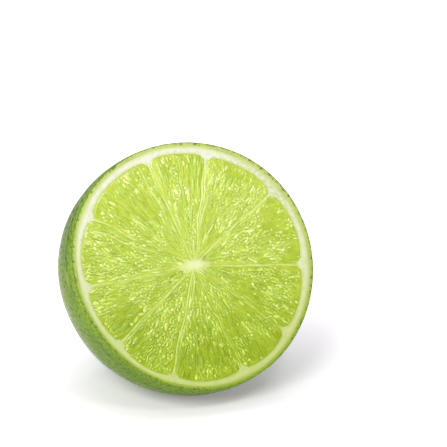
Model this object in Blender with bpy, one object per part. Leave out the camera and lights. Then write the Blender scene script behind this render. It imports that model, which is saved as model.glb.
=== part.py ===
"""Half a lime, cut across near its middle and leaning back on a small flat spot of its peel.

It is one solid, as the fruit grew. The fruit's own axes are X across the cut face, Z up along it, and
+Y from the cut face to the far end, with the core of the fruit at the origin. The finished object is
turned by the lean and set down so that +Z is up and the flat spot lies on Z = 0.
"""

import math
import random

import bmesh
import bpy
from mathutils import Matrix, Vector, noise
from mathutils.kdtree import KDTree

MM = 0.001

# Driving sizes of the whole fruit
GIRTH_RADIUS = 26.1 * MM  # at the widest place
HALF_LENGTH = 31.0 * MM  # from the widest place to the far end, without the nipple
CUT_OFFSET = 4.0 * MM  # the knife went this far in front of the widest place
FAR_END = CUT_OFFSET + HALF_LENGTH
LEAN = math.radians(28.4)  # the cut face leans back from upright
FLAT_DEPTH = 1.05 * MM  # how far the peel is pressed in where it rests
FLAT_EDGE = 0.15 * MM  # the edge of the flat spot is eased over this height

# The section is not quite round: (waves round the fruit, share of the radius, degrees of the first crest)
GIRTH_WAVES = ((1, 0.015, 38), (2, 0.008, -10), (3, 0.011, 30))

# Nipple at the far end, with a shallow furrow round it
NIPPLE_HEIGHT = 2.0 * MM
NIPPLE_RADIUS = 3.8 * MM
NIPPLE_BLUNTNESS = 2.6  # 2 is a soft hill, and more is flatter on top
NIPPLE_TILT = 0.12  # the tip stands off the axis by this share of its height
NIPPLE_RINGS = 7
NIPPLE_RING_STEP = 0.85 * MM
NIPPLE_RING_POINTS = 30  # at most
FURROW_DEPTH = 0.4 * MM
FURROW_RADIUS = 7.5 * MM
FURROW_WIDTH = 2.2 * MM

# Peel relief
PEEL_POINTS = 2800
PEEL_MARGIN = 0.9 * MM  # the spiral of points keeps this far behind the cut
NIPPLE_MARGIN = 0.5 * MM  # and this far from the rings round the nipple
OIL_PITS = 720
PIT_MARGIN = 1.6 * MM
PIT_DEPTH = 0.40 * MM
SWELL_HEIGHT = 0.22 * MM
SWELL_LENGTH = 9.0 * MM
RELIEF_FADE = 2.0 * MM  # the relief grows from nothing at the cut over this distance
AREA_STEPS = 2000

# Cut face, measured inwards from the rim or outwards from the core
MEMBRANE_ANGLES = (33, 72, 105, 148, 184, 216, 247, 285, 316, 353)  # degrees, from +X towards +Z
RIND_WIDTH = 2.45 * MM
ZEST_WIDTH = 0.80 * MM
CORE_RADIUS = 1.5 * MM
CORE_RINGS = (1.0, 0.5)  # shares of the core's radius
CORE_DIMPLE = 0.12 * MM
MEMBRANE_HALF = 0.26 * MM
MEMBRANE_FLARE = 0.18 * MM  # added to that at the core
EDGE_SHARE = 0.36  # a membrane's edge takes no more than this share of a segment
GROOVE_SHARE = 0.25  # nor the groove more than this share of what is left
WEDGE_CORNER = 2.4 * MM  # rounded outer corners of the segments
CORNER_FLARE = 0.7  # width of such a corner for its length
WEDGE_TIP = 1.6 * MM  # how soon a segment opens out from the core
GROOVE_WIDTH = 0.28 * MM
GROOVE_DEPTH = 0.50 * MM

# Pulp and its juice sacs
PULP_DEPTH = 0.12 * MM  # the crown of a segment lies this far under the cut
PULP_EASE = 1.5 * MM  # the pulp rounds down to the pith over this width
PULP_ROUNDING = 5.0  # how steeply it rises from the membranes
CORE_EASE = 6.0 * MM  # the sacs grow from nothing at the core over this distance
SAC_HEIGHT = 0.26 * MM
SAC_TOP = 0.45  # the sacs are cut level at this share of their height
SAC_JITTER = 0.12
SAC_RINGS = 4  # a juice sac is this many rings long
SACS_ACROSS = 6
PULP_RINGS = 18
RING_CROWDING = 1.5  # above 1, the rings crowd towards the pith

# Places of the columns of each segment: the membrane's middle and edge, the pulp, and its other edge
MIDDLE, EDGE, PULP_START, PULP_LAST, FAR_EDGE = 0, 1, 2, SACS_ACROSS + 3, SACS_ACROSS + 4

PEEL, PITH, PULP = range(3)
FINISHES = (
    ("peel", (0.12, 0.30, 0.03), 0.35),
    ("pith", (0.78, 0.82, 0.45), 0.55),
    ("pulp", (0.42, 0.60, 0.06), 0.20),
)

SEED = 7
GOLDEN_ANGLE = math.pi * (3 - math.sqrt(5))


def girth(angle):
    """How far the peel stands from the core at this angle, as a share of the round section."""
    waves = (share * math.cos(n * (angle - math.radians(crest))) for n, share, crest in GIRTH_WAVES)
    return 1 + sum(waves)


def round_radius(depth):
    """Radius of the round section at this depth behind the cut."""
    along = (depth - CUT_OFFSET) / HALF_LENGTH
    return GIRTH_RADIUS * math.sqrt(max(0.0, 1 - along * along))


def depth_of_radius(radius):
    """Depth on the far side where the round section has this radius."""
    return CUT_OFFSET + HALF_LENGTH * math.sqrt(1 - (radius / GIRTH_RADIUS) ** 2)


def ring_point(radius, depth, angle):
    return Vector((radius * math.cos(angle), depth, radius * math.sin(angle)))


def even_depths(count):
    """Depths of a spiral of points that share out the peel's area evenly, from the cut to the far end."""
    area, areas = 0.0, [0.0]
    step_length = FAR_END / AREA_STEPS
    for i in range(AREA_STEPS):
        near = round_radius(i * step_length)
        far = round_radius((i + 1) * step_length)
        area += math.hypot(step_length, far - near) * (near + far) / 2
        areas.append(area)
    depths, step = [], 0
    for i in range(count):
        wanted = area * (i + 0.5) / count
        while areas[step + 1] < wanted:
            step += 1
        share = (wanted - areas[step]) / (areas[step + 1] - areas[step])
        depths.append((step + share) * step_length)
    return depths


def peel_spiral(count, margin):
    """Evenly spread points of the round peel that lie more than a margin behind the cut."""
    spiral = enumerate(even_depths(count))
    return [ring_point(round_radius(d), d, i * GOLDEN_ANGLE) for i, d in spiral if d > margin]


def nipple_points():
    """Closer rings of points round the far end, so that the nipple has its form."""
    points = [ring_point(0.0, FAR_END, 0.0)]
    for ring in range(1, NIPPLE_RINGS + 1):
        radius = ring * NIPPLE_RING_STEP
        count = min(6 * ring, NIPPLE_RING_POINTS)
        half_turn = 0.5 * (ring % 2)
        for i in range(count):
            angle = 2 * math.pi * (i + half_turn) / count
            points.append(ring_point(radius, depth_of_radius(radius), angle))
    return points


def shape_peel(point, outward, sunk):
    """Moves a point of the round peel to its place on the fruit."""
    widen = girth(math.atan2(point.z, point.x))
    fade = min(1.0, point.y / RELIEF_FADE)
    swell = SWELL_HEIGHT * noise.noise(point / SWELL_LENGTH)
    moved = Vector((point.x * widen, point.y, point.z * widen)) + outward * fade * (swell - sunk)
    radius = math.hypot(point.x, point.z)
    if point.y > CUT_OFFSET:
        rise = NIPPLE_HEIGHT * math.exp(-((radius / NIPPLE_RADIUS) ** NIPPLE_BLUNTNESS))
        dip = FURROW_DEPTH * math.exp(-(((radius - FURROW_RADIUS) / FURROW_WIDTH) ** 2))
        moved.y += rise - dip
        moved.z += NIPPLE_TILT * rise
    return moved


def face_columns():
    """The columns that run from the rim to the core: the segment and the place in it of each one."""
    return [(segment, place) for segment in range(len(MEMBRANE_ANGLES)) for place in range(FAR_EDGE + 1)]


def membrane_edge(radius, pulp_end):
    """Half the width of a membrane at this radius. It widens at the core and at the pith."""
    from_tip = max(0.0, CORE_RADIUS + WEDGE_TIP - radius) / WEDGE_TIP
    from_corner = min(1.0, max(0.0, radius - (pulp_end - WEDGE_CORNER)) / WEDGE_CORNER)
    corner = WEDGE_CORNER * (1 - math.sqrt(1 - from_corner**2))
    return MEMBRANE_HALF + MEMBRANE_FLARE * from_tip**2 + CORNER_FLARE * corner


def column_angle(segment, place, radius, pulp_end):
    """Angle of a column where it crosses this radius."""
    start = math.radians(MEMBRANE_ANGLES[segment])
    end = math.radians(MEMBRANE_ANGLES[(segment + 1) % len(MEMBRANE_ANGLES)])
    if end < start:
        end += 2 * math.pi
    edge = min(membrane_edge(radius, pulp_end) / radius, EDGE_SHARE * (end - start))
    groove = min(GROOVE_WIDTH / radius, GROOVE_SHARE * (end - start - 2 * edge))
    if place == MIDDLE:
        return start
    if place == EDGE:
        return start + edge
    if place == FAR_EDGE:
        return end - edge
    low, high = start + edge + groove, end - edge - groove
    return low + (high - low) * (place - PULP_START) / (PULP_LAST - PULP_START)


def pulp_radius(ring, pulp_end):
    """Distance of a pulp ring from the core."""
    share = 1 - (1 - (ring + 1) / (PULP_RINGS + 1)) ** RING_CROWDING
    return CORE_RADIUS + (pulp_end - CORE_RADIUS) * share


def pulp_height(place, ring, radius, pulp_end, draw):
    """Height of the pulp over the cut plane: low at the segment's edge, crowned, and raised in sacs."""
    if place in (MIDDLE, EDGE, FAR_EDGE):
        return 0.0
    across = (place - PULP_START) / (PULP_LAST - PULP_START)
    from_end = min(1.0, (pulp_end - radius) / PULP_EASE)
    from_core = min(1.0, (radius - CORE_RADIUS) / CORE_EASE)
    crown = min(1.0, PULP_ROUNDING * across * (1 - across)) * math.sin(from_end * math.pi / 2)
    stagger = 0.5 * (place % 2) + draw.uniform(-SAC_JITTER, SAC_JITTER)
    sac = math.cos(2 * math.pi * (ring / SAC_RINGS + stagger))
    height = -GROOVE_DEPTH + (GROOVE_DEPTH - PULP_DEPTH) * crown
    return height + SAC_HEIGHT * crown * from_core * min(SAC_TOP, sac)


def build_peel(mesh, rim):
    """The peel as the hull of its points, then shaped. Returns the rim's vertices in order."""
    rim_points = [ring_point(round_radius(0.0), 0.0, angle) for angle in rim]
    nipple = nipple_points()
    last_depth = nipple[-1].y - NIPPLE_MARGIN
    field = [p for p in peel_spiral(PEEL_POINTS, PEEL_MARGIN) if p.y < last_depth]
    tree = KDTree(len(field))
    for i, p in enumerate(field):
        tree.insert(p, i)
    tree.balance()
    pits = {tree.find(p)[1] for p in peel_spiral(OIL_PITS, PIT_MARGIN)}
    rim_verts = [mesh.verts.new(p) for p in rim_points]
    field_verts = [mesh.verts.new(p) for p in field]
    nipple_verts = [mesh.verts.new(p) for p in nipple]
    bmesh.ops.convex_hull(mesh, input=mesh.verts[:])
    on_rim = set(rim_verts)
    cap = [f for f in mesh.faces if all(v in on_rim for v in f.verts)]
    bmesh.ops.delete(mesh, geom=cap, context="FACES_ONLY")
    bmesh.ops.delete(mesh, geom=[e for e in mesh.edges if not e.link_faces], context="EDGES")
    mesh.normal_update()
    for v in rim_verts + nipple_verts:
        v.co = shape_peel(v.co, v.normal.copy(), 0.0)
    for i, v in enumerate(field_verts):
        v.co = shape_peel(v.co, v.normal.copy(), PIT_DEPTH if i in pits else 0.0)
    return rim_verts


def ring_finish(kind, place):
    """Finish of a stretch of the cut face, from one column to the next."""
    if kind == "zest":
        return PEEL
    if kind == "pulp" and place not in (MIDDLE, FAR_EDGE):
        return PULP
    return PITH


def build_cut_face(mesh, columns, rim_verts):
    """Rings of the cut face from the rim to the core, each one joined to the ring before it."""
    draw = random.Random(SEED)
    outer = [math.hypot(v.co.x, v.co.z) for v in rim_verts]
    rings = [("zest", ZEST_WIDTH), ("pith", RIND_WIDTH)]
    rings += [("pulp", i) for i in reversed(range(PULP_RINGS))]
    rings += [("core", share) for share in CORE_RINGS]
    previous = rim_verts
    for kind, value in rings:
        ring = []
        for (segment, place), rim_radius in zip(columns, outer):
            pulp_end = rim_radius - RIND_WIDTH
            height = 0.0
            if kind == "pulp":
                radius = pulp_radius(value, pulp_end)
                height = pulp_height(place, value, radius, pulp_end, draw)
            elif kind == "core":
                radius = CORE_RADIUS * value
            else:
                radius = rim_radius - value
            angle = column_angle(segment, place, max(radius, CORE_RADIUS), pulp_end)
            ring.append(mesh.verts.new(ring_point(radius, -height, angle)))
        for i, (segment, place) in enumerate(columns):
            j = (i + 1) % len(columns)
            face = mesh.faces.new((previous[i], previous[j], ring[j], ring[i]))
            face.material_index = ring_finish(kind, place)
        previous = ring
    middle = mesh.verts.new((0.0, CORE_DIMPLE, 0.0))
    for i, v in enumerate(previous):
        face = mesh.faces.new((v, previous[(i + 1) % len(previous)], middle))
        face.material_index = PITH


def press_flat(mesh, lean):
    """Presses the lowest part of the peel, once it leans, to one level, and returns that level."""
    turned = [lean @ v.co for v in mesh.verts]
    level = min(p.z for p in turned) + FLAT_DEPTH
    for v, p in zip(mesh.verts, turned):
        over = p.z - level
        if over < -FLAT_EDGE:
            p.z = level
        elif over < FLAT_EDGE:
            p.z = level + (over + FLAT_EDGE) ** 2 / (4 * FLAT_EDGE)
        v.co = lean.inverted() @ p
    return level


def make_material(name, colour, roughness):
    material = bpy.data.materials.new(name)
    material.use_nodes = True
    shader = material.node_tree.nodes["Principled BSDF"]
    shader.inputs["Base Color"].default_value = (*colour, 1.0)
    shader.inputs["Roughness"].default_value = roughness
    shader.inputs["Metallic"].default_value = 0.0
    return material


def make_lime_half():
    columns = face_columns()
    reach = round_radius(0.0)
    rim = [column_angle(segment, place, reach, reach - RIND_WIDTH) for segment, place in columns]
    mesh = bmesh.new()
    rim_verts = build_peel(mesh, rim)
    build_cut_face(mesh, columns, rim_verts)
    bmesh.ops.triangulate(mesh, faces=mesh.faces[:])
    bmesh.ops.recalc_face_normals(mesh, faces=mesh.faces[:])
    lean = Matrix.Rotation(-LEAN, 3, "X")
    level = press_flat(mesh, lean)
    turned = [lean @ v.co for v in mesh.verts]
    middle = [(min(p[k] for p in turned) + max(p[k] for p in turned)) / 2 for k in range(2)]
    data = bpy.data.meshes.new("lime_half")
    mesh.to_mesh(data)
    mesh.free()
    data.shade_smooth()
    for finish in FINISHES:
        data.materials.append(make_material(*finish))
    half = bpy.data.objects.new("lime_half", data)
    half.rotation_euler = (-LEAN, 0.0, 0.0)
    half.location = (-middle[0], -middle[1], -level)
    bpy.context.scene.collection.objects.link(half)


def main():
    for old in list(bpy.data.objects):
        bpy.data.objects.remove(old)
    make_lime_half()


main()
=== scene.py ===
"""The looks of half a lime: peel, pith, membranes, pulp with its juice sacs, and the pale core.

The fruit's own axes are X across the cut face, Z up along it and +Y from the cut face to the far end,
in millimetres, with the core at the origin. Every mesh is worked out there, then leaned back and set
in the frame.
"""

import math

import bmesh
import bpy
import numpy as np
from mathutils import Matrix, Vector, noise

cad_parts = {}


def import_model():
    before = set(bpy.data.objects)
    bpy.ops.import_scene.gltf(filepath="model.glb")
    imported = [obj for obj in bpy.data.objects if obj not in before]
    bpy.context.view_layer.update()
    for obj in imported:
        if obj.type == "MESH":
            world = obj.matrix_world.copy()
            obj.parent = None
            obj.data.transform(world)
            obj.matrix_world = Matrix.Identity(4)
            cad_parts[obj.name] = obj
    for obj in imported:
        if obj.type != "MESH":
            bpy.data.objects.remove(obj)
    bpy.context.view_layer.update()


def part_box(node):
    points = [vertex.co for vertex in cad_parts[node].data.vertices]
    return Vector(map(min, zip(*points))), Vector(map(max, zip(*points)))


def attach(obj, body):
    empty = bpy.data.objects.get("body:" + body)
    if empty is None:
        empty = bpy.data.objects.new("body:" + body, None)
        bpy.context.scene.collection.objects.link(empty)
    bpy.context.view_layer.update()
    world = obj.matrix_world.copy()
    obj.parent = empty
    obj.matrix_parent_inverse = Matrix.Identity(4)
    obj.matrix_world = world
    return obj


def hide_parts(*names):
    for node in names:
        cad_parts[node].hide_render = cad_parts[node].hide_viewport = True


MM = 0.001
NODE = "lime_half"

# The whole fruit, in millimetres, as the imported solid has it
GIRTH_RADIUS = 26.1
HALF_LENGTH = 31.0
CUT_OFFSET = 4.0
LEAN = math.radians(28.4)
FLAT_EDGE = 0.3
GIRTH_WAVES = ((1, 0.015, 38), (2, 0.008, -10), (3, 0.011, 30))  # how many round it, share, crest
SWELL_HEIGHT = 0.22
SWELL_LENGTH = 9.0
SWELL_FADE = 2.0

# Along its outline's ellipse, in radians from its widest place to the far end
PHI_GAP = 0.002  # kept free at the tip and at the rim
TIP_PHI = math.pi / 2 - PHI_GAP
CUT_PHI = math.asin(-CUT_OFFSET / HALF_LENGTH)

# Nipple at the far end
NIPPLE_HEIGHT = 2.0
NIPPLE_RADIUS = 3.8
NIPPLE_BLUNTNESS = 2.6
NIPPLE_TILT = 0.12
FURROW_DEPTH = 0.4
FURROW_RADIUS = 7.5
FURROW_WIDTH = 2.2
SCAR_RADIUS = 0.8
SCAR_DEPTH = 0.35

# Cut face
RIND_WIDTHS = np.array([  # angle, zest, pith
    (35, 1.05, 1.62),
    (90, 0.72, 1.68),
    (140, 0.70, 1.50),
    (180, 0.72, 1.25),
    (225, 0.50, 0.95),
    (270, 0.74, 1.25),
    (325, 0.74, 1.50),
])
PITH_WAVES = ((0.07, 5, 0.7), (0.05, 11, 2.1))  # height, how many round the rim, turn
ZEST_SHARES = (0.05, 0.25, 0.5, 0.75, 1.0)
FLOOR_SHARES = (1.0, 0.75, 0.5, 0.25)  # of the pocket for the pith
RIM_SKIN = 0.6  # how much the ring at the rim counts as skin
POCKET_DEPTH = 0.95
GAP = 0.03  # between one piece and the next
WEDGE_CORNER = 2.0
CORNER_FLARE = 0.5
SCALLOP = 0.35

# Pith
PITH_FLOOR = 2.9
PITH_RISE = 0.03
PITH_SHARES = (0.04, 0.2, 0.4, 0.6, 0.8, 0.97)
FLARE_LENGTH = 3.0
RIDGE_DEPTH = 0.22
RIDGE_TONE = 0.65  # between the pith at 0 and the pulp at 1
HUB_DEPTH = 0.25
HUB_SHARES = (0.9, 0.45)

# Membranes, the veins between them, and the lines that run beside them
MEMBRANE_ANGLES = (33, 72, 105, 148, 184, 216, 247, 285, 316, 353)
MEMBRANE_STRENGTHS = (0.95, 1.0, 0.75, 0.7, 1.0, 0.85, 0.95, 0.65, 0.58, 0.9)
MEMBRANE_HALF = 0.19
MEMBRANE_START = 1.4
MEMBRANE_INTO_PITH = 0.3
MEMBRANE_SECTION = (0.32, 0.23)  # half thickness and depth of the middle, at full strength
MEMBRANE_WANDER = 0.5
WANDER_LENGTH = 5.0
WAVE_LENGTH = 2.6
WAVE_DEPTH = 0.08
WAVE_THICKNESS = 0.35
WAVE_STRENGTH = 0.6
ROOT_LENGTH = 2.5  # where it thickens and dips into the pith
ROOT_DEPTH = 0.30
ROOT_THICKNESS = 0.10
VEIN_SHARES = (1, 2, 3)  # quarters of a segment's width
VEIN_START = (2.6, 6.0)  # the least, and the most that chance adds
VEIN_LENGTH = (4.0, 12.0)
VEIN_SECTION = (0.10, 0.02, 0.3)  # half thickness, depth of the middle, strength
TWIN_SECTION = (0.22, 0.12, 0.8)
TWIN_START = 7.0
TWIN_LINES = ((1, 0.86), (2, 0.12), (3, 0.16), (0, 0.90), (8, 0.10))  # segment, share across
TAPER_END = 0.25
TAPER_STEPS = 5.0

# Core
CORE_REACH = (3.3, 1.5)
CORE_COVER = 0.62  # the pulp begins at this share of the core's reach
CORE_RAY_WIDTH = 0.13
CORE_RAYS = 0.40
CORE_ROUGHNESS = 0.35
CORE_EDGE = 0.06
CORE_DOME = 0.16
CORE_LUMPS = 0.05
CORE_SKIRT = 0.45

# Pulp, its glittering patches, and the sacs and beads of juice on it; the beads are pale, as painted
# glints
PULP_WAVES = ((0.08, 9.0, 0.16, 3.7), (0.02, 24.0, 0.30, 5.1))  # height; across, along, by segment
PULP_EASE = 0.6
EDGE_DIP = 0.07
EDGE_WIDTH = 0.15
GLINT_PATCH = 5.5
GLINT_START = 0.32
GLINT_SPAN = 0.62
SACS = {"spacing": 1.15, "length": (2.0, 6.5), "width": (0.6, 1.3), "height": 0.085,
        "margin": 0.45, "swing": 0.10, "calm": 1.0, "seed": 21}
BEADS = {"spacing": 0.64, "length": (0.40, 1.9), "width": (0.26, 0.90), "height": 0.26,
         "margin": 0.20, "swing": 0.36, "calm": 0.05, "seed": 31}
SAC_SKEW = 2.2  # most sacs are short and narrow
SAC_SLIMNESS = 1.6
SAC_OF_REACH = 1.8  # longest beside an end of its segment
SAC_OF_ROOM = 1.5  # widest beside any edge
SAC_TIP = 0.12
SAC_ROLL = 0.08

# Light on the cut face and on the beads, as a share of what makes white look white
FACE_LIGHT = 1.32
BEAD_LIGHT = 1.22
SOAK = (0.8, 1.0, 0.5)  # how far red, green and blue light goes in pale flesh

# Soft lights: azimuth and elevation in degrees, distance and size in metres, watts
LIGHTS = {
    "overhead softbox": (160, 84, 0.9, 0.8, 2.0),
    "front softbox": (-44, 36, 1.3, 0.5, 10.2),
    "back softbox": (150, 40, 0.5, 0.11, 0.14),
    "small softbox": (4, 47, 0.30, 0.06, 0.16),
}
SURROUND_LIGHT = 0.30

# The floor, which glows a little though it is no lamp, and less under the fruit: painted light that
# keeps its shadow tight and soft
FLOOR_HALF = 4.0
FLOOR_SHINE = 0.62
SHADE_MIDDLE = (10.0, 5.3, 2.9)
SHADE_RADII = (30.0, 64.0)

# The view, in degrees, and in millimetres from the core
VIEW_AZIMUTH = -23.6
VIEW_ELEVATION = 18.0
VIEW_DISTANCE = 454.6
VIEW_AIM = Vector((6.45, 0.03, 8.03))
LENS = 180.0

# How finely the meshes are cut
PEEL_COLUMNS = 460
PEEL_RINGS = 176
OUTLINE_COLUMNS = 240
OUTLINE_RINGS = 90
PULP_COLUMNS = 46
PULP_RINGS = 70
PULP_CROWDING = 0.85
PITH_COLUMNS = 14
POCKET_RINGS = 26
POCKET_CROWDING = 0.7
MEMBRANE_STEPS = 60
CORE_COLUMNS = 120
CORE_RINGS = 10
SHARP_EDGE = math.radians(50)
SHARP_PULP = math.radians(60)


class Socket:
    """An output of a node tree. Arithmetic on it adds the Math nodes that work it out."""

    def __init__(self, tree, end):
        self.tree = tree
        self.end = end

    def math(self, operation, *values):
        return self.tree.add("ShaderNodeMath", {"operation": operation}, dict(enumerate(values)))

    def __add__(self, other):
        return self.math("ADD", self, other)

    def __radd__(self, other):
        return self.math("ADD", other, self)

    def __sub__(self, other):
        return self.math("SUBTRACT", self, other)

    def __rsub__(self, other):
        return self.math("SUBTRACT", other, self)

    def __mul__(self, other):
        return self.math("MULTIPLY", self, other)

    def __rmul__(self, other):
        return self.math("MULTIPLY", other, self)

    def __truediv__(self, other):
        return self.math("DIVIDE", self, other)

    def __pow__(self, other):
        return self.math("POWER", self, other)

    def least(self, other):
        return self.math("MINIMUM", self, other)

    def step(self, low, high):
        """Rises smoothly from 0 at low to 1 at high, or falls if low is the larger."""
        falls = low > high
        ends = {0: self, 1: min(low, high), 2: max(low, high), 3: float(falls), 4: float(not falls)}
        return self.tree.add("ShaderNodeMapRange", {"interpolation_type": "SMOOTHSTEP"}, ends)


class Tree:
    """A node tree under construction, of a material or of geometry."""

    def __init__(self, nodes):
        self.nodes = nodes

    def feed(self, target, value):
        if isinstance(value, Socket):
            self.nodes.links.new(value.end, target)
        else:
            target.default_value = value

    def add(self, kind, settings=None, sockets=None, out=0):
        """Adds a node: its settings, then the values or links of its sockets by name or number."""
        node = self.nodes.nodes.new(kind)
        for name, value in (settings or {}).items():
            setattr(node, name, value)
        for key, value in (sockets or {}).items():
            self.feed(node.inputs[key], value)
        return Socket(self, node.outputs[out])

    def split(self, vector):
        return [self.add("ShaderNodeSeparateXYZ", None, {0: vector}, out=k) for k in range(3)]

    def join(self, x, y, z):
        return self.add("ShaderNodeCombineXYZ", None, {0: x, 1: y, 2: z})

    def vector(self, operation, *values, out=0):
        return self.add("ShaderNodeVectorMath", {"operation": operation}, dict(enumerate(values)), out)

    def scaled(self, vector, length):
        return self.add("ShaderNodeVectorMath", {"operation": "SCALE"}, {0: vector, "Scale": length})

    def noise(self, place, scale, detail=2.0, roughness=0.5):
        sockets = {"Vector": place, "Scale": scale, "Detail": detail, "Roughness": roughness}
        return self.add("ShaderNodeTexNoise", None, sockets)

    def mix(self, share, first, second):
        """A colour between two colours."""
        return self.add("ShaderNodeMix", {"data_type": "RGBA"}, {0: share, 6: first, 7: second}, out=2)

    def coats(self, colour, *coats):
        """A colour with others laid over it, each as strongly as its share says."""
        for share, coat in coats:
            colour = self.mix(share, colour, coat)
        return colour


class Look(Tree):
    """One material. Its patterns are laid out in the fruit's own axes, in millimetres."""

    def __init__(self, name, core):
        self.material = bpy.data.materials.new(name)
        self.material.use_nodes = True
        super().__init__(self.material.node_tree)
        self.shader = self.nodes.nodes["Principled BSDF"]
        place = self.add("ShaderNodeTexCoord", out="Object")
        turn = {"Vector": place, "Location": core, "Rotation": (-LEAN, 0.0, 0.0), "Scale": (MM, MM, MM)}
        self.place = self.add("ShaderNodeMapping", {"vector_type": "TEXTURE"}, turn)

    def attribute(self, name):
        return self.add("ShaderNodeAttribute", {"attribute_name": name}, out="Fac")

    def from_axis(self, x, z):
        """Distance from the fruit's own axis, never quite 0."""
        return self.vector("LENGTH", self.join(x, 0.0, z), out="Value") + 0.01

    def rays(self, across, along):
        """Coordinates whose patterns run outwards from the core, finer towards it, and the radius."""
        x, _, z = self.split(self.place)
        radius = self.from_axis(x, z)
        return self.join(x / radius * across, radius * along, z / radius * across), radius

    def painted_light_side(self):
        """Painted light: 1 at the top of the cut face, which its colours paint palest as if most lit,
        down to 0 at the bottom, painted as in shade.
        """
        x, _, z = self.split(self.place)
        return (z + x * 0.08).step(-24.0, 20.0)

    def relief(self, height, depth):
        """Feeds a fine height, in millimetres, to the surface."""
        sockets = {"Height": height, "Distance": depth * MM, "Strength": 1.0}
        bump = self.add("ShaderNodeBump", None, sockets)
        self.feed(self.shader.inputs["Normal"], bump)

    def finish(self, colour, roughness, **others):
        self.feed(self.shader.inputs["Base Color"], colour)
        self.feed(self.shader.inputs["Roughness"], roughness)
        for name, value in others.items():
            self.feed(self.shader.inputs[name.replace("_", " ").title().replace("Ior", "IOR")], value)
        return self.material


def tint(red, green, blue, light=FACE_LIGHT):
    """The shader's colour for one that looks like this, 0 to 255, in the light that falls on it."""
    linear = []
    for part in (red, green, blue):
        share = part / 255
        linear.append((share / 12.92 if share < 0.04045 else ((share + 0.055) / 1.055) ** 2.4) / light)
    return (*linear, 1.0)


def soaked(weight, depth):
    """The shader's values for pale flesh that light soaks into, to this depth in millimetres."""
    return {"subsurface_weight": weight, "subsurface_scale": depth * MM, "subsurface_radius": SOAK}


# The fruit's form


def drift(place, scale=1.0):
    """A smooth random number for a place, the same at every call."""
    return noise.noise(Vector(place) * scale)


def rough_drift(place, evenness):
    """The same, with two finer layers of it on top."""
    return noise.fractal(Vector(place), evenness, 2.0, 3)


def girth(angle):
    """Width at this angle round the fruit's axis, as a share of a true circle's."""
    waves = [share * np.cos(n * (angle - math.radians(crest))) for n, share, crest in GIRTH_WAVES]
    return 1 + sum(waves)


def rim_radius(angle):
    """Distance from the core to the edge of the cut face."""
    return GIRTH_RADIUS * math.sqrt(1 - (CUT_OFFSET / HALF_LENGTH) ** 2) * girth(angle)


def rim_measure(angle, column):
    """A width of the rind at this angle, from the table of widths round the rim."""
    return np.interp(np.degrees(angle), RIND_WIDTHS[:, 0], RIND_WIDTHS[:, column], period=360)


def zest_width(angle):
    return rim_measure(angle, 1)


def pith_width(angle):
    width = rim_measure(angle, 2)
    for height, n, turn in PITH_WAVES:
        width = width + height * np.cos(n * angle + turn)
    return width


def core_edge(angle):
    """Distance from the core's middle to its edge, which is wider than tall."""
    across, up = CORE_REACH
    return across * up / np.hypot(up * np.cos(angle), across * np.sin(angle))


def pulp_start(angle):
    """Where the pulp begins, hidden under the edge of the core."""
    return CORE_COVER * core_edge(angle)


def pulp_end(angle):
    """Distance from the core to the outer edge of the pulp."""
    return rim_radius(angle) - zest_width(angle) - pith_width(angle)


def membrane_angle(index, radius):
    """Angle of a membrane at this distance from the core. It wanders a little on its way out."""
    wander = MEMBRANE_WANDER * drift((index * 7.31, radius / WANDER_LENGTH, 0.5))
    return math.radians(MEMBRANE_ANGLES[index % len(MEMBRANE_ANGLES)]) + wander / radius


def segment_sides(index, radius, end):
    """Angles of the two sides of a segment at this distance, with its outer corners rounded."""
    first = membrane_angle(index, radius)
    last = membrane_angle(index + 1, radius)
    if last < first:
        last += 2 * math.pi
    corner = min(1.0, max(0.0, radius - (end - WEDGE_CORNER)) / WEDGE_CORNER)
    margin = MEMBRANE_HALF + CORNER_FLARE * WEDGE_CORNER * (1 - math.sqrt(1 - corner**2))
    return first + margin / radius, last - margin / radius


def nominal_angle(index, share):
    """Angle inside a segment, from one membrane at share 0 to the next at share 1."""
    first = math.radians(MEMBRANE_ANGLES[index])
    last = math.radians(MEMBRANE_ANGLES[(index + 1) % len(MEMBRANE_ANGLES)])
    if last < first:
        last += 2 * math.pi
    return first + (last - first) * share


def segment_end(index, share):
    """Distance from the core to the outer end of a segment, which bulges most at its middle."""
    return pulp_end(nominal_angle(index, share)) - SCALLOP * abs(2 * share - 1) ** 3


def ring_faces(rings, columns):
    """Quads that join each closed ring of points to the next one."""
    faces = []
    for i in range(rings - 1):
        for j in range(columns):
            k = (j + 1) % columns
            this, following = i * columns, (i + 1) * columns
            faces.append((this + j, this + k, following + k, following + j))
    return faces


def lean_back(points, core):
    """Points of the fruit's own axes, in millimetres, as places in the frame."""
    turn = np.array(Matrix.Rotation(-LEAN, 3, "X"))
    return np.asarray(points) @ turn.T * MM + np.array(core)


def add_object(name, data):
    made = bpy.data.objects.new(name, data)
    bpy.context.scene.collection.objects.link(made)
    return made


def make_object(name, points, faces, core, edges=()):
    """A mesh object at the frame's origin, closed and with its faces outwards, shaded smooth."""
    data = bpy.data.meshes.new(name)
    data.from_pydata(lean_back(points, core).tolist(), edges, faces)
    mesh = bmesh.new()
    mesh.from_mesh(data)
    bmesh.ops.recalc_face_normals(mesh, faces=mesh.faces[:])
    mesh.to_mesh(data)
    mesh.free()
    data.shade_smooth()
    return add_object(name, data)


def note_values(made, name, values):
    """Keeps one number for each point of a mesh, for its material or its geometry tree."""
    attribute = made.data.attributes.new(name, "FLOAT", "POINT")
    attribute.data.foreach_set("value", np.asarray(values, dtype=np.float32))


# Geometry trees


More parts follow.
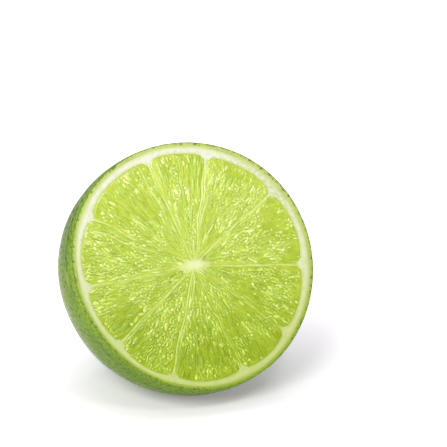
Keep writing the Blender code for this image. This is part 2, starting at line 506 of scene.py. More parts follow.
class Growth(Tree):
    """A geometry tree with named inputs, run over a guide mesh to make a piece."""

    KINDS = {float: "NodeSocketFloat", int: "NodeSocketInt", tuple: "NodeSocketVector"}

    def __init__(self, name, **inputs):
        super().__init__(bpy.data.node_groups.new(name, "GeometryNodeTree"))
        face = self.nodes.interface
        face.new_socket(name="Guide", in_out="INPUT", socket_type="NodeSocketGeometry")
        face.new_socket(name="Piece", in_out="OUTPUT", socket_type="NodeSocketGeometry")
        self.values = inputs
        self.keys = {}
        for key, value in inputs.items():
            kind = self.KINDS.get(type(value), "NodeSocketMaterial")
            self.keys[key] = face.new_socket(name=key, in_out="INPUT", socket_type=kind).identifier
        self.entry = self.nodes.nodes.new("NodeGroupInput")

    def given(self, name):
        return Socket(self, self.entry.outputs[name])

    def scatter(self, guide, spacing, seed, selection=True, factor=1.0):
        """Points spread over a guide's faces, no closer than the spacing."""
        dense = {"Distance Min": spacing, "Density Max": 4.0e7, "Density Factor": factor}
        sockets = {"Mesh": guide, "Selection": selection, "Seed": seed, **dense}
        node = "GeometryNodeDistributePointsOnFaces"
        points = self.add(node, {"distribute_method": "POISSON"}, sockets)
        return points, Socket(self, points.end.node.outputs["Normal"])

    def chance(self, low, high, seed, which=None):
        """A random number for each element, or for each number of which."""
        sockets = {2: low, 3: high, "Seed": seed}
        if which is not None:
            sockets["ID"] = which
        return self.add("FunctionNodeRandomValue", {"data_type": "FLOAT"}, sockets, out=1)

    def read(self, name):
        return self.add("GeometryNodeInputNamedAttribute", {"data_type": "FLOAT"}, {"Name": name})

    def note(self, geometry, name, value, domain="POINT"):
        settings = {"data_type": "FLOAT", "domain": domain}
        sockets = {"Geometry": geometry, "Name": name, "Value": value}
        return self.add("GeometryNodeStoreNamedAttribute", settings, sockets)

    def end(self, geometry, *materials):
        """Realizes what the tree made, gives it its materials, and closes the tree."""
        geometry = self.add("GeometryNodeRealizeInstances", None, {"Geometry": geometry})
        for material, selection in materials:
            sockets = {"Geometry": geometry, "Selection": selection, "Material": self.given(material)}
            geometry = self.add("GeometryNodeSetMaterial", None, sockets)
        last = self.nodes.nodes.new("NodeGroupOutput")
        self.feed(last.inputs[0], geometry)

    def grow(self, guide, name):
        """The plain mesh that the tree makes from a guide, which is then removed."""
        modifier = guide.modifiers.new(name, "NODES")
        modifier.node_group = self.nodes
        for key, value in self.values.items():
            modifier[self.keys[key]] = value
        graph = bpy.context.evaluated_depsgraph_get()
        seen = guide.evaluated_get(graph)
        data = bpy.data.meshes.new_from_object(seen, preserve_all_data_layers=True, depsgraph=graph)
        data.name = name
        guide.modifiers.remove(modifier)
        bpy.data.objects.remove(guide)
        return add_object(name, data)


def gland_tree(skin, zest):
    """Sinks a pit at each point of an even scatter, adds the grain, and presses the flat spot."""
    tree = Growth(
        "oil glands of the peel",
        Spacing=1.45 * MM,
        Pit_Radius=0.62 * MM,
        Pit_Depth=0.26 * MM,
        Grain_Height=0.10 * MM,
        Grain_Scale=1.0 / (1.3 * MM),
        Flat_Edge=FLAT_EDGE * MM,
        Seed=11,
        Skin=skin,
        Zest=zest,
    )
    guide, seed = tree.given("Guide"), tree.given("Seed")
    outside = tree.read("skin")
    on_skin = outside.step(0.4, 0.6)
    points, _ = tree.scatter(guide, tree.given("Spacing"), seed, selection=on_skin)
    place = tree.add("GeometryNodeInputPosition")
    normal = tree.add("GeometryNodeInputNormal")
    near = {"Geometry": points, "Sample Position": place}
    away = tree.add("GeometryNodeProximity", {"target_element": "POINTS"}, near, out="Distance")
    which = tree.add("GeometryNodeSampleNearest", None, near)
    size = tree.chance(0.45, 1.0, seed, which)
    pit = (away / (tree.given("Pit_Radius") * (0.6 + 0.4 * size))).step(1.0, 0.0) * size
    grain = tree.noise(place, tree.given("Grain_Scale"), detail=2.0) - 0.5
    rise = (grain * tree.given("Grain_Height") - pit * tree.given("Pit_Depth")) * outside
    sockets = {"Geometry": guide, "Offset": tree.scaled(normal, rise)}
    geometry = tree.add("GeometryNodeSetPosition", None, sockets)
    geometry = tree.note(geometry, "gland", pit * outside)
    x, y, z = tree.split(place)
    level = z.math("SMOOTH_MAX", z, 0.0, tree.given("Flat_Edge"))
    pressed = {"Geometry": geometry, "Position": tree.join(x, y, level)}
    geometry = tree.add("GeometryNodeSetPosition", None, pressed)
    tree.end(geometry, ("Zest", True), ("Skin", on_skin))
    return tree


def sac_tree(name, core, material, spacing, length, width, height, margin, swing, calm, seed):
    """Lays slim sacs on the pulp, each along the ray from the core, fewer where the pulp is calm."""
    tree = Growth(
        name,
        Core=tuple(core),
        Spacing=spacing * MM,
        Shortest=length[0] * MM,
        Longest=length[1] * MM,
        Narrowest=width[0] * MM,
        Widest=width[1] * MM,
        Height=height * MM,
        Margin=margin,
        Swing=swing,
        Calm=calm,
        Seed=seed,
        Material=material,
    )
    guide, seed = tree.given("Guide"), tree.given("Seed")
    place = tree.add("GeometryNodeInputPosition")
    room = tree.read("room")
    inside = room.math("GREATER_THAN", room, tree.given("Margin"))
    calm = tree.given("Calm")
    density = calm + (1.0 - calm) * tree.read("glint_patch")
    points, normal = tree.scatter(guide, tree.given("Spacing"), seed, inside, density)

    from_core = tree.vector("SUBTRACT", place, tree.given("Core"))
    axes = {"Primary Axis": normal, "Secondary Axis": tree.vector("NORMALIZE", from_core)}
    along = tree.add("FunctionNodeAxesToRotation", {"primary_axis": "Z", "secondary_axis": "X"}, axes)
    either_side = tree.chance(-1.0, 1.0, seed + 1) + tree.chance(-1.0, 1.0, seed + 2)
    tip = tree.chance(-SAC_TIP, SAC_TIP, seed + 3)
    roll = tree.chance(-SAC_ROLL, SAC_ROLL, seed + 4)
    tipped = tree.join(tip, roll, either_side * tree.given("Swing"))
    twist = tree.add("FunctionNodeEulerToRotation", None, {"Euler": tipped})
    turned = {"Rotation": along, "Rotate By": twist}
    turn = tree.add("FunctionNodeRotateRotation", {"rotation_space": "LOCAL"}, turned)

    shortest, narrowest = tree.given("Shortest"), tree.given("Narrowest")
    longer, wider = tree.given("Longest") - shortest, tree.given("Widest") - narrowest
    long = shortest + longer * tree.chance(0.0, 1.0, seed + 5) ** SAC_SKEW
    wide = narrowest + wider * tree.chance(0.0, 1.0, seed + 6) ** SAC_SKEW
    long = long.least(tree.read("reach") * (SAC_OF_REACH * MM))
    wide = wide.least(room * (SAC_OF_ROOM * MM))
    tall = tree.given("Height") * tree.chance(0.7, 1.2, seed + 7)

    ball = tree.add("GeometryNodeMeshUVSphere", None, {"Segments": 8, "Rings": 6, "Radius": 0.5})
    x, y, z = tree.split(tree.add("GeometryNodeInputPosition"))
    slim = 1.0 - z * z * SAC_SLIMNESS
    spindle = {"Geometry": ball, "Position": tree.join(z, x * slim, y * slim)}
    spindle = tree.add("GeometryNodeSetPosition", None, spindle)
    spindle = tree.add("GeometryNodeSetShadeSmooth", None, {"Geometry": spindle})
    size = tree.join(long, wide, tall)
    sockets = {"Points": points, "Instance": spindle, "Rotation": turn, "Scale": size}
    sacs = tree.add("GeometryNodeInstanceOnPoints", None, sockets)
    sacs = tree.note(sacs, "tone", tree.chance(-1.0, 1.0, seed + 8), "INSTANCE")
    sacs = tree.note(sacs, "glint_patch", tree.read("glint_patch"), "INSTANCE")
    sacs = tree.note(sacs, "room", 9.0, "INSTANCE")  # far from any edge
    tree.end(sacs, ("Material", True))
    return tree


def membrane_tree(material):
    """Sweeps a round section along each line of a guide, as thick as the line says at each point."""
    tree = Growth("membranes along their lines", Sides=8, Material=material)
    curve = tree.add("GeometryNodeMeshToCurve", None, {"Mesh": tree.given("Guide")})
    circle = {"Resolution": tree.given("Sides"), "Radius": 1.0}
    section = tree.add("GeometryNodeCurvePrimitiveCircle", None, circle)
    thickness = tree.read("thickness")
    sweep = {"Curve": curve, "Profile Curve": section, "Scale": thickness, "Fill Caps": True}
    made = tree.add("GeometryNodeCurveToMesh", None, sweep)
    made = tree.add("GeometryNodeSetShadeSmooth", None, {"Geometry": made})
    tree.end(made, ("Material", True))
    return tree


# Materials


def skin_look(core):
    look = Look("waxy green skin", core)
    gland = look.attribute("gland")
    x, y, z = look.split(look.place)
    tip = look.from_axis(x, z)
    broad = look.noise(look.place, 0.06, detail=1.0).step(0.35, 0.65)
    mottle = look.noise(look.place, 0.8, detail=4.0, roughness=0.65)
    lengthwise = look.join(x / tip * 4.5, y * 0.9, z / tip * 4.5)
    streak = look.noise(lengthwise, 1.0, detail=3.0, roughness=0.6)
    speck = look.noise(look.place, 2.6, detail=2.0)
    near = look.mix(broad, tint(106, 146, 4), tint(128, 164, 8))
    far = look.mix(broad, tint(80, 130, 0, 1.0), tint(108, 152, 4, 1.0))
    near_rim = y.step(12.0, 1.0)
    belt = y.step(3.0, 8.0) * y.step(20.0, 12.0)
    strip = (y + z.step(-6.0, -18.0) * -1.2).step(2.8, 0.4)  # beside the cut, wider low down
    end = y.step(18.0, 34.0) * tip.step(7.0, 1.5)
    scar = y.step(30.0, 33.0) * tip.step(SCAR_RADIUS * 1.5, SCAR_RADIUS * 0.6)
    colour = look.coats(
        look.mix(y.step(2.0, 12.0), near, far),
        (streak.step(0.51, 0.66) * near_rim * 0.7, tint(172, 200, 44)),
        (streak.step(0.49, 0.35) * near_rim * 0.75, tint(50, 96, 0)),
        (mottle.step(0.53, 0.72) * 0.45, tint(150, 190, 26)),
        (mottle.step(0.47, 0.30) * 0.45, tint(62, 110, 0)),
        (gland.step(0.15, 0.8) * 0.5, tint(46, 104, 2)),
        (speck.step(0.62, 0.76) * 0.2, tint(158, 194, 70)),
        (belt * 0.3, tint(128, 128, 40)),
        (strip * (0.25 + 0.75 * mottle.step(0.64, 0.46)), tint(142, 182, 0)),
        (strip * mottle.step(0.47, 0.36) * 0.6, tint(60, 104, 0)),
        (strip * speck.step(0.52, 0.62) * 0.75, tint(194, 218, 52)),
        (strip * speck.step(0.47, 0.37) * 0.65, tint(72, 120, 0)),
        # Painted shade: the skin beside the rim is painted darker towards the bottom, where shade falls
        (z.step(0.0, -20.0) * near_rim * 0.42, tint(62, 102, 6)),
        (end * 0.8, tint(158, 174, 50)),
        (scar, tint(104, 84, 44)),
    )
    look.relief(look.noise(look.place, 3.4, detail=3.0, roughness=0.6), 0.12)
    shine = y.step(6.0, 18.0) * 0.6
    wax = {"specular_ior_level": 0.08, "coat_weight": shine, "coat_roughness": 0.1}
    return look.finish(colour, 0.22 + mottle * 0.16, **wax)


def zest_look(core):
    look = Look("cut zest", core)
    inward = look.attribute("inward")
    lit = look.painted_light_side()
    fleck = look.noise(look.place, 1.3, detail=3.0)
    wobble = look.vector("ADD", look.place, look.scaled(look.join(fleck, 0.0, fleck), 0.5))
    cell = look.add("ShaderNodeTexVoronoi", None, {"Vector": wobble, "Scale": 1.0}, out="Distance")
    gland = cell.step(0.40, 0.24) * inward.step(1.0, 0.45)
    # Painted light: each colour is a shaded copy at the bottom of the face and a lit copy at the top
    body = look.mix(lit, tint(146, 176, 6), tint(198, 220, 98))
    paler = look.mix(lit, tint(178, 200, 78), tint(216, 229, 140))
    colour = look.coats(
        tint(106, 148, 4),
        (inward.step(0.0, 0.35), body),
        (inward.step(0.45, 1.0), paler),
        (fleck.step(0.46, 0.60) * inward.step(0.85, 0.1) * 0.65, tint(88, 130, 12)),
        (gland * 0.75, tint(80, 116, 12)),
    )
    look.relief(look.noise(look.place, 3.0, detail=3.0) - gland, 0.06)
    return look.finish(colour, 0.42, **soaked(0.15, 0.6))


def pith_look(core):
    look = Look("white pith", core)
    inward = look.attribute("inward")
    lit = look.painted_light_side()
    fibre = look.noise(look.place, 1.4, detail=4.0, roughness=0.65)
    cloud = look.noise(look.place, 0.5, detail=3.0)
    x, _, z = look.split(look.place)
    # Painted shade: the pith at the upper right is painted duller and greener, as if in shade
    painted_shade = x.step(6.0, 20.0) * z.step(0.0, 12.0)  # at the upper right
    # Painted light: each colour is a shaded copy at the bottom of the face and a lit copy at the top
    pale = look.mix(lit, tint(212, 226, 140), tint(250, 252, 230))
    edge = look.mix(lit, tint(190, 209, 84), tint(218, 231, 132))
    colour = look.coats(
        pale,
        (fibre.step(0.45, 0.8) * 0.5, edge),
        ((inward + (fibre - 0.5) * 0.7).step(0.60, 1.0) * 0.85, edge),
        (inward.step(0.50, 0.0) * 0.75, edge),
        (cloud.step(0.45, 0.7) * 0.35, edge),
        (painted_shade * (0.2 + 0.45 * fibre.step(0.4, 0.6)), tint(206, 218, 132)),
    )
    look.relief(fibre, 0.10)
    return look.finish(colour, 0.5, **soaked(0.3, 0.8))


def membrane_look(core):
    look = Look("thin membrane", core)
    strength = look.attribute("strength")
    streak, _ = look.rays(30.0, 0.6)
    grain = look.noise(streak, 1.0, detail=3.0)
    lit = look.painted_light_side()
    # Painted light: each colour is a shaded copy at the bottom of the face and a lit copy at the top
    deep = look.mix(lit, tint(172, 201, 40), tint(210, 233, 92))
    pale = look.mix(lit, tint(201, 226, 92), tint(231, 248, 150))
    root = look.mix(lit, tint(218, 232, 150), tint(246, 249, 214))
    colour = look.coats(
        deep,
        (strength.step(0.0, 1.0) * grain.step(0.25, 0.55), pale),
        (strength.step(1.1, 2.0) * 0.8, root),
    )
    look.relief(grain, 0.03)
    return look.finish(colour, 0.3, **soaked(0.2, 0.5))


def core_look(core):
    look = Look("pale core", core)
    share = look.attribute("inward")
    sponge = look.noise(look.place, 1.5, detail=4.0, roughness=0.7)
    colour = look.coats(
        tint(222, 236, 128),
        (share.step(0.0, 0.75), tint(246, 251, 190)),
        (sponge.step(0.5, 0.3) * 0.4, tint(216, 232, 116)),
    )
    look.relief(sponge, 0.12)
    return look.finish(colour, 0.45, **soaked(0.3, 0.6))


def pulp_look(core):
    look = Look("juicy pulp", core)
    tone, glint_patch, room = [look.attribute(name) for name in ("tone", "glint_patch", "room")]
    fine_place, radius = look.rays(34.0, 0.42)
    broad_place, _ = look.rays(8.0, 0.10)
    fine = look.noise(fine_place, 1.0, detail=2.0, roughness=0.55)
    broad = look.noise(broad_place, 1.0, detail=2.0)
    grain = look.noise(look.place, 2.2, detail=3.0, roughness=0.7)
    dapple = look.noise(look.place, 0.8, detail=2.0, roughness=0.6)
    lit = look.painted_light_side()
    # Painted light: each colour is a shaded copy at the bottom of the face and a lit copy at the top
    body = look.mix(lit, tint(164, 187, 10), tint(209, 225, 58))
    pale = look.mix(lit, tint(199, 220, 56), tint(236, 248, 112))
    deep = look.mix(lit, tint(138, 161, 12), tint(184, 201, 46))
    painted_sheen = look.mix(lit, tint(203, 224, 92), tint(238, 250, 158))
    colour = look.coats(
        body,
        (broad.step(0.40, 0.70) * 0.45, pale),
        (broad.step(0.48, 0.30) * 0.30, deep),
        (fine.step(0.50, 0.80) * 0.25, pale),
        (fine.step(0.44, 0.26) * 0.08, deep),
        (dapple.step(0.50, 0.72) * 0.40, pale),
        (dapple.step(0.50, 0.28) * 0.40, deep),
        # Painted sheen: whitish blotches, most in the glittering patches, stand in for the soft glints
        # there
        ((0.15 + glint_patch * 0.85) * grain.step(0.46, 0.64) * 0.55, painted_sheen),
        ((0.5 + tone * 0.5) * 0.18, pale),
        # Dark spots, most in the glittering patches: partly the pulp's deeper tone, partly painted
        # shade between the glints
        ((0.30 + glint_patch * 0.70) * grain.step(0.46, 0.30) * 0.75, deep),
        ((room + (grain - 0.5) * 0.5).step(0.22, 0.0) * 0.4, pale),
        # Paler towards the core, and more so at the top, where the painted light is strongest
        (radius.step(20.0, 2.0) * lit * 0.55, pale),
    )
    look.relief(fine * 0.4 + grain, 0.045)
    juice = {"subsurface_weight": 0.3, "subsurface_scale": 1.2 * MM}
    return look.finish(colour, 0.16 + 0.14 * broad, coat_weight=0.15, coat_roughness=0.08, **juice)


def glint_bead_look(core):
    # Painted highlight: the beads are pale, standing in for the glints on wet juice, and paler at the
    # top where the painted light is strongest
    look = Look("wet juice", core)
    tone = look.attribute("tone")
    lit = look.painted_light_side() ** 0.7
    pale = look.mix(lit, tint(214, 235, 78, BEAD_LIGHT), tint(247, 254, 180, BEAD_LIGHT))
    deep = look.mix(lit, tint(176, 204, 30, BEAD_LIGHT), tint(224, 244, 98, BEAD_LIGHT))
    colour = look.mix((0.5 + tone * 0.5) ** 1.6, deep, pale)
    return look.finish(colour, 0.08 + 0.04 * tone, coat_weight=0.6, coat_roughness=0.04)


# Pieces


def flat_ring(radius, angles, depth):
    """A ring of points round the fruit's axis, at this depth behind the cut."""
    across, up = radius * np.cos(angles), radius * np.sin(angles)
    return np.column_stack([across, np.full_like(angles, depth), up])


def outer_ring(phi, angles):
    """One ring of the outside of the peel, at this angle along the ellipse from its widest place."""
    depth = CUT_OFFSET + HALF_LENGTH * math.sin(phi)
    radius = GIRTH_RADIUS * math.cos(phi)
    widen = girth(angles)
    points = flat_ring(radius, angles, depth)
    slope = np.array([GIRTH_RADIUS**-2, HALF_LENGTH**-2, GIRTH_RADIUS**-2])
    outward = (points - np.array([0.0, CUT_OFFSET, 0.0])) * slope
    outward /= np.linalg.norm(outward, axis=1)[:, None]
    swell = np.array([noise.noise(Vector(p) / SWELL_LENGTH) for p in points])
    fade = min(1.0, depth / SWELL_FADE)
    moved = points * np.column_stack([widen, np.ones_like(widen), widen])
    moved += outward * (SWELL_HEIGHT * fade * swell)[:, None]
    if depth > CUT_OFFSET:
        rise = NIPPLE_HEIGHT * math.exp(-((radius / NIPPLE_RADIUS) ** NIPPLE_BLUNTNESS))
        dip = FURROW_DEPTH * math.exp(-(((radius - FURROW_RADIUS) / FURROW_WIDTH) ** 2))
        scar = SCAR_DEPTH * math.exp(-((radius / SCAR_RADIUS) ** 4))
        moved[:, 1] += rise - dip - scar
        moved[:, 2] += NIPPLE_TILT * rise
    return moved


def build_peel():
    """Points, faces and noted values of the peel: outside, cut edge, and pocket for the pith."""
    angles = np.linspace(0, 2 * math.pi, PEEL_COLUMNS, endpoint=False)
    phis = np.linspace(TIP_PHI, CUT_PHI + PHI_GAP, PEEL_RINGS)
    outside = [outer_ring(phi, angles) for phi in phis]
    rim = rim_radius(angles)
    zest = zest_width(angles)
    cut = [flat_ring(rim - zest * share, angles, 0.0) for share in ZEST_SHARES]
    pocket = [flat_ring((rim - zest) * share, angles, PITH_FLOOR) for share in FLOOR_SHARES]
    rings = outside + cut + pocket
    skin = [1.0] * (len(outside) - 1) + [RIM_SKIN] + [0.0] * (len(cut) + len(pocket))
    inward = [0.0] * len(outside) + list(ZEST_SHARES) + [1.0] * len(pocket)
    faces = ring_faces(len(rings), PEEL_COLUMNS)
    return close_ends(np.vstack(rings), faces, PEEL_COLUMNS), skin, inward


def close_ends(points, faces, columns):
    """Closes the first and the last ring, each with a fan round one middle point."""
    first, last = len(points), len(points) + 1
    start = len(points) - columns
    middles = [points[:columns].mean(axis=0), points[start:].mean(axis=0)]
    for j in range(columns):
        k = (j + 1) % columns
        faces.append((first, k, j))
        faces.append((last, start + j, start + k))
    return np.vstack([points, middles]), faces


def make_peel(core, skin, zest):
    (points, faces), outside, inward = build_peel()
    made = make_object("peel", points, faces, core)
    note_values(made, "skin", np.append(np.repeat(outside, PEEL_COLUMNS), [1.0, 0.0]))
    note_values(made, "inward", np.append(np.repeat(inward, PEEL_COLUMNS), [0.0, 1.0]))
    made = gland_tree(skin, zest).grow(made, "peel")
    made.data.set_sharp_from_angle(angle=SHARP_EDGE)
    return made


def pith_columns():
    """Segment, share of it and kind of each column of the pith, from membrane to membrane."""
    columns = []
    for index in range(len(MEMBRANE_ANGLES)):
        columns += [(index, 0.0, "middle"), (index, 0.0, "ridge"), (index, 0.0, "side")]
        columns += [(index, (i + 1) / (PITH_COLUMNS + 1), "floor") for i in range(PITH_COLUMNS)]
        columns += [(index, 1.0, "side"), (index, 1.0, "ridge")]
    return columns


def pith_angle(index, share, kind, radius, end):
    low, high = segment_sides(index, radius, end)
    if kind == "middle":
        return membrane_angle(index, radius)
    if kind == "ridge":
        return low - GAP / radius if share == 0.0 else high + GAP / radius
    return low + (high - low) * share


def pith_point(kind, value, index, share, place):
    """One point of the pith, in a ring of this kind, and how far it is from pith towards pulp."""
    outer_angle = nominal_angle(index, share)
    start, end = pulp_start(outer_angle), segment_end(index, share)
    rim = rim_radius(outer_angle) - zest_width(outer_angle) - GAP
    beside_pulp = place in ("side", "floor")
    height, inward = 0.0, 1.0
    if kind in ("wall", "rim"):
        radius, height, inward = rim, value, 0.0
    elif kind == "band":
        radius = rim + (end + GAP - rim) * value
        height = -PITH_RISE * math.sin(math.pi * value)
        inward = value if beside_pulp else min(value, RIDGE_TONE)
    elif kind == "edge":
        radius = end + GAP
        inward = 1.0 if beside_pulp else RIDGE_TONE
    elif kind == "pocket":
        radius = start + (end + 0.5 * GAP - start) * value
        fade = min(1.0, max(0.0, (end - radius) / FLARE_LENGTH))
        height = POCKET_DEPTH if beside_pulp else RIDGE_DEPTH * fade
        inward = RIDGE_TONE + (1 - RIDGE_TONE) * fade
    else:
        radius = start * value
        height = HUB_DEPTH
    angle = pith_angle(index, share, place, max(radius, start), end)
    return (radius * math.cos(angle), height, radius * math.sin(angle)), inward


def make_pith(core, material):
    """The pith with its flares between the segments, and the pockets that the segments lie in."""
    columns = pith_columns()
    rings = [("wall", PITH_FLOOR - GAP), ("rim", 0.0)]
    rings += [("band", share) for share in PITH_SHARES]
    rings += [("edge", 0.0)]
    rings += [("pocket", share) for share in np.linspace(1.0, 0.0, POCKET_RINGS) ** POCKET_CROWDING]
    rings += [("hub", share) for share in HUB_SHARES]
    points, inward = zip(*[pith_point(*ring, *column) for ring in rings for column in columns])
    faces = ring_faces(len(rings), len(columns))
    points, faces = close_ends(np.array(points), faces, len(columns))
    made = make_object("pith", points, faces, core)
    note_values(made, "inward", [*inward, 0.0, 1.0])
    made.data.set_sharp_from_angle(angle=SHARP_EDGE)
    made.data.materials.append(material)
    return made


def pulp_height(index, angle, radius, room):
    """Height of the pulp over the cut: eased off at its edges, and softly ridged along the rays."""
    rise = 0.0
    for height, across, along, shift in PULP_WAVES:
        ray = (math.cos(angle) * across, math.sin(angle) * across, radius * along + index * shift)
        rise += height * drift(ray)
    dip = EDGE_DIP * math.exp(-((room / EDGE_WIDTH) ** 2))
    return rise * min(1.0, room / PULP_EASE) - dip


def glint_patch_at(x, z):
    """How much the pulp glitters here, from 0 where it is calm to 1 in the middle of a patch."""
    patch = rough_drift((x / GLINT_PATCH, z / GLINT_PATCH, 2.7), 0.8)
    share = min(1.0, max(0.0, (patch + GLINT_START) / GLINT_SPAN))
    return share * share * (3 - 2 * share)


def segment_points(index):
    """The top of one segment as a grid of points, each with its room, reach along the ray and frost."""
    points, measures = [], []
    shares = np.linspace(0.0, 1.0, PULP_COLUMNS).tolist()
    starts = [float(pulp_start(nominal_angle(index, t))) for t in shares]
    ends = [float(segment_end(index, t)) for t in shares]
    for u in np.linspace(0.0, 1.0, PULP_RINGS).tolist():
        for t, start, end in zip(shares, starts, ends):
            radius = start + (end - start) * u**PULP_CROWDING
            low, high = segment_sides(index, radius, end)
            angle = low + (high - low) * t
            side_room = min(t, 1 - t) * (high - low) * radius
            reach = min(end - radius, radius - start)
            room = min(reach, side_room)
            height = pulp_height(index, angle, radius, room)
            x, z = radius * math.cos(angle), radius * math.sin(angle)
            points.append((x, -height, z))
            measures.append((room, reach, glint_patch_at(x, z)))
    return points, measures


def grid_faces(first, rows, columns):
    """Quads of an open grid of points."""
    faces = []
    for i in range(rows - 1):
        for j in range(columns - 1):
            corner = first + i * columns + j
            faces.append((corner, corner + 1, corner + columns + 1, corner + columns))
    return faces


def grid_border(rows, columns):
    """The points of an open grid's border, in order round it."""
    border = list(range(columns))
    border += [i * columns + columns - 1 for i in range(1, rows)]
    border += [(rows - 1) * columns + j for j in range(columns - 2, -1, -1)]
    border += [i * columns for i in range(rows - 2, 0, -1)]
    return border


def note_measures(made, measures):
    for name, values in zip(("room", "reach", "glint_patch"), zip(*measures)):
        note_values(made, name, values)


def make_segment(index, top, core, material):
    """One segment of pulp, as a closed body in its pocket."""
    points, measures = list(top[0]), list(top[1])
    faces = grid_faces(0, PULP_RINGS, PULP_COLUMNS)
    border = grid_border(PULP_RINGS, PULP_COLUMNS)
    first = len(points)
    depth = POCKET_DEPTH - GAP
    points += [(points[i][0], depth, points[i][2]) for i in border]
    middle = len(points)
    points.append(tuple(np.mean(np.array(points[first:]), axis=0)))
    for i in range(len(border)):
        j = (i + 1) % len(border)
        faces.append((border[i], border[j], first + j, first + i))
        faces.append((first + i, first + j, middle))
    made = make_object(f"pulp_{index + 1:02d}", points, faces, core)
    measures += [(0.0, 0.0, 0.0)] * (len(border) + 1)
    note_measures(made, measures)
    made.data.set_sharp_from_angle(angle=SHARP_PULP)
    made.data.materials.append(material)
    return made


def make_sac_guide(tops, core):
    """The tops of all the segments together, for sacs and beads to be laid on."""
    points, faces, measures = [], [], []
    for own_points, own_measures in tops:
        faces += [f[::-1] for f in grid_faces(len(points), PULP_RINGS, PULP_COLUMNS)]
        points += own_points
        measures += own_measures
    data = bpy.data.meshes.new("sac guide")
    data.from_pydata(lean_back(points, core).tolist(), (), faces)
    guide = add_object("sac guide", data)
    note_measures(guide, measures)
    return guide


def membrane_lines():
    """Each line's segment, share across it, start, end, half thickness, depth and strength."""
    lines = []
    for index, strength in enumerate(MEMBRANE_STRENGTHS):
        end = segment_end(index, 0.0)
        half, depth = [measure * strength for measure in MEMBRANE_SECTION]
        lines.append((index, 0.0, MEMBRANE_START, end + MEMBRANE_INTO_PITH, half, depth, strength))
        for vein in VEIN_SHARES:
            start = VEIN_START[0] + VEIN_START[1] * abs(drift((index * 3.3, vein * 5.7, 0.2)))
            reach = VEIN_LENGTH[0] + VEIN_LENGTH[1] * abs(drift((index * 1.7, vein * 2.9, 3.1)))
            share = vein / 4 + 0.1 * drift((index * 9.1, vein, 7.0))
            lines.append((index, share, start, min(start + reach, end - 1.0), *VEIN_SECTION))
    for index, share in TWIN_LINES:
        lines.append((index, share, TWIN_START, segment_end(index, share), *TWIN_SECTION))
    return lines


def make_membranes(core, material):
    """The membranes between the segments, and thinner veins beside and between them."""
    points, edges, thickness, strengths = [], [], [], []
    last = MEMBRANE_STEPS - 1
    for index, share, start, end, half, sunk, strength in membrane_lines():
        for i in range(MEMBRANE_STEPS):
            radius = start + (end - start) * i / last
            if share == 0.0:
                angle, taper = membrane_angle(index, radius), 1.0
                near_pith = max(0.0, 1 - (end - radius) / ROOT_LENGTH)
            else:
                low, high = segment_sides(index, radius, math.inf)  # its corners don't bend a vein
                angle = low + (high - low) * share
                taper = min(1.0, TAPER_END + min(i, last - i) / TAPER_STEPS)
                near_pith = 0.0
            wave = rough_drift((index * 4.1 + share * 9.0, radius / WAVE_LENGTH, 1.0), 0.7)
            if i:
                edges.append((len(points) - 1, len(points)))
            depth = sunk - WAVE_DEPTH * wave + ROOT_DEPTH * near_pith**2
            points.append((radius * math.cos(angle), depth, radius * math.sin(angle)))
            thick = half * (1 + WAVE_THICKNESS * wave) * taper + ROOT_THICKNESS * near_pith
            thickness.append(thick * MM)
            strengths.append(strength + WAVE_STRENGTH * wave + near_pith)
    guide = make_object("membrane guide", points, (), core, edges)
    note_values(guide, "thickness", thickness)
    note_values(guide, "strength", strengths)
    return membrane_tree(material).grow(guide, "membranes")


def make_core(core, material):
    """The pale core: a low dome whose edge runs out in rays along the membranes and between them."""
    points, inward = [], []
    for i in range(CORE_RINGS + 1):
        share = 1 - max(0, i - 1) / CORE_RINGS
        for j in range(CORE_COLUMNS):
            angle = 2 * math.pi * j / CORE_COLUMNS
            turns = [math.remainder(angle - math.radians(a), 2 * math.pi) for a in MEMBRANE_ANGLES]
            rays = sum(math.exp(-((turn / CORE_RAY_WIDTH) ** 2)) for turn in turns)
            rough = drift((math.cos(angle), math.sin(angle), 0.0), 6.0)
            edge = 0.92 + (CORE_RAYS * rays + CORE_ROUGHNESS * rough) * share**2
            radius = core_edge(angle) * edge * share
            x, z = radius * math.cos(angle), radius * math.sin(angle)
            height = CORE_DOME * (1 - share**3) + CORE_LUMPS * drift((x, z, 0.3), 1.5)
            points.append((x, CORE_SKIRT if i == 0 else -CORE_EDGE - height, z))
            inward.append(1 - share)
    faces = ring_faces(CORE_RINGS + 1, CORE_COLUMNS)
    points, faces = close_ends(np.array(points), faces, CORE_COLUMNS)
    made = make_object("core", points, faces, core)
    note_values(made, "inward", inward + [0.0, 1.0])
    made.data.materials.append(material)
    return made


# Stage


def find_core():
    """The core's place in the frame: the fruit's outline, leaned back, is set on the solid's box."""
    angles = np.linspace(0, 2 * math.pi, OUTLINE_COLUMNS, endpoint=False)
    rings = [outer_ring(phi, angles) for phi in np.linspace(TIP_PHI, CUT_PHI, OUTLINE_RINGS)]
    own = lean_back(np.vstack(rings), (0.0, 0.0, 0.0))
    low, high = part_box(NODE)
    middle = (own.min(axis=0) + own.max(axis=0)) / 2
    x = (low[0] + high[0]) / 2 - middle[0]
    y = (low[1] + high[1]) / 2 - middle[1]
    return Vector((x, y, high[2] - own[:, 2].max()))


def direction(azimuth, elevation):
    """The way from the core to where it is seen from these angles, in degrees."""
    azimuth, elevation = math.radians(azimuth), math.radians(elevation)
    level = math.cos(elevation)
    return Vector((math.sin(azimuth) * level, -math.cos(azimuth) * level, math.sin(elevation)))


def make_camera(core):
    back = direction(VIEW_AZIMUTH, VIEW_ELEVATION)
    data = bpy.data.cameras.new("camera")
    data.lens = LENS
    camera = add_object("camera", data)
    camera.location = core + (VIEW_AIM + back * VIEW_DISTANCE) * MM
    camera.rotation_euler = (-back).to_track_quat("-Z", "Y").to_euler()
    bpy.context.scene.camera = camera


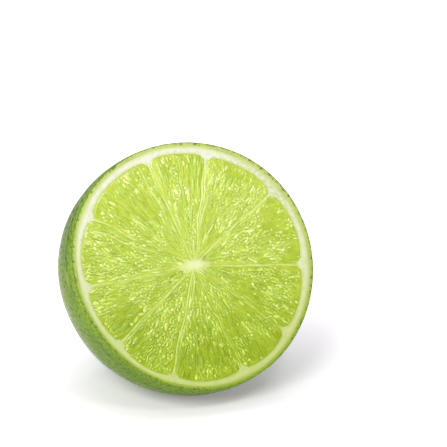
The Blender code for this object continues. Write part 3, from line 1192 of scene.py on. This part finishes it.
def make_light(name, core, azimuth, elevation, distance, size, watts):
    """A square soft light that faces the core."""
    toward = direction(azimuth, elevation)
    data = bpy.data.lights.new(name, "AREA")
    data.shape = "SQUARE"
    data.size = size
    data.energy = watts
    light = add_object(name, data)
    light.location = core + toward * distance
    light.rotation_euler = toward.to_track_quat("Z", "Y").to_euler()


def table_look(core):
    look = Look("white table", core)
    cloud = look.noise(look.place, 0.004, detail=1.0)
    white = look.mix(cloud, tint(246, 246, 246, 1.0), tint(248, 248, 248, 1.0))
    # Painted light: the floor's glow is weakest round a middle under the fruit, which paints the shape
    # of its shadow, and is tinted purple there against the green light bounced off the peel
    away = look.vector("DISTANCE", look.place, SHADE_MIDDLE, out="Value")
    glow = look.mix(away.step(*SHADE_RADII), tint(164, 154, 170, 1.0), tint(255, 245, 255, 1.0))
    return look.finish(white, 0.7, emission_color=glow, emission_strength=FLOOR_SHINE)


def make_stage(core):
    world = bpy.data.worlds.new("studio")
    world.use_nodes = True
    surround = world.node_tree.nodes["Background"]
    surround.inputs["Color"].default_value = (1.0, 1.0, 1.0, 1.0)
    surround.inputs["Strength"].default_value = SURROUND_LIGHT
    for name, values in LIGHTS.items():
        make_light(name, core, *values)

    data = bpy.data.meshes.new("floor")
    corners = [(x * FLOOR_HALF, y * FLOOR_HALF, 0.0) for x, y in ((-1, -1), (1, -1), (1, 1), (-1, 1))]
    data.from_pydata(corners, (), [(0, 1, 2, 3)])
    data.materials.append(table_look(core))
    floor = add_object("floor", data)
    scene = bpy.context.scene
    scene.world = world
    scene.view_settings.view_transform = "Standard"
    scene.cycles.use_denoising = True


def main():
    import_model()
    core = find_core()
    make_camera(core)
    make_stage(core)

    pith, membrane, pulp = pith_look(core), membrane_look(core), pulp_look(core)
    peel = make_peel(core, skin_look(core), zest_look(core))
    pale = [make_pith(core, pith), make_membranes(core, membrane), make_core(core, core_look(core))]
    tops = [segment_points(index) for index in range(len(MEMBRANE_ANGLES))]
    juicy = [make_segment(index, top, core, pulp) for index, top in enumerate(tops)]
    for name, look, measures in (("juice_sacs", pulp, SACS), ("juice_beads", glint_bead_look(core), BEADS)):
        tree = sac_tree(name, core, look, **measures)
        juicy.append(tree.grow(make_sac_guide(tops, core), name))

    for slot, pieces in (("peel", [peel]), ("pith", pale), ("pulp", juicy)):
        for piece in pieces:
            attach(piece, "root")
            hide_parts(NODE)


main()
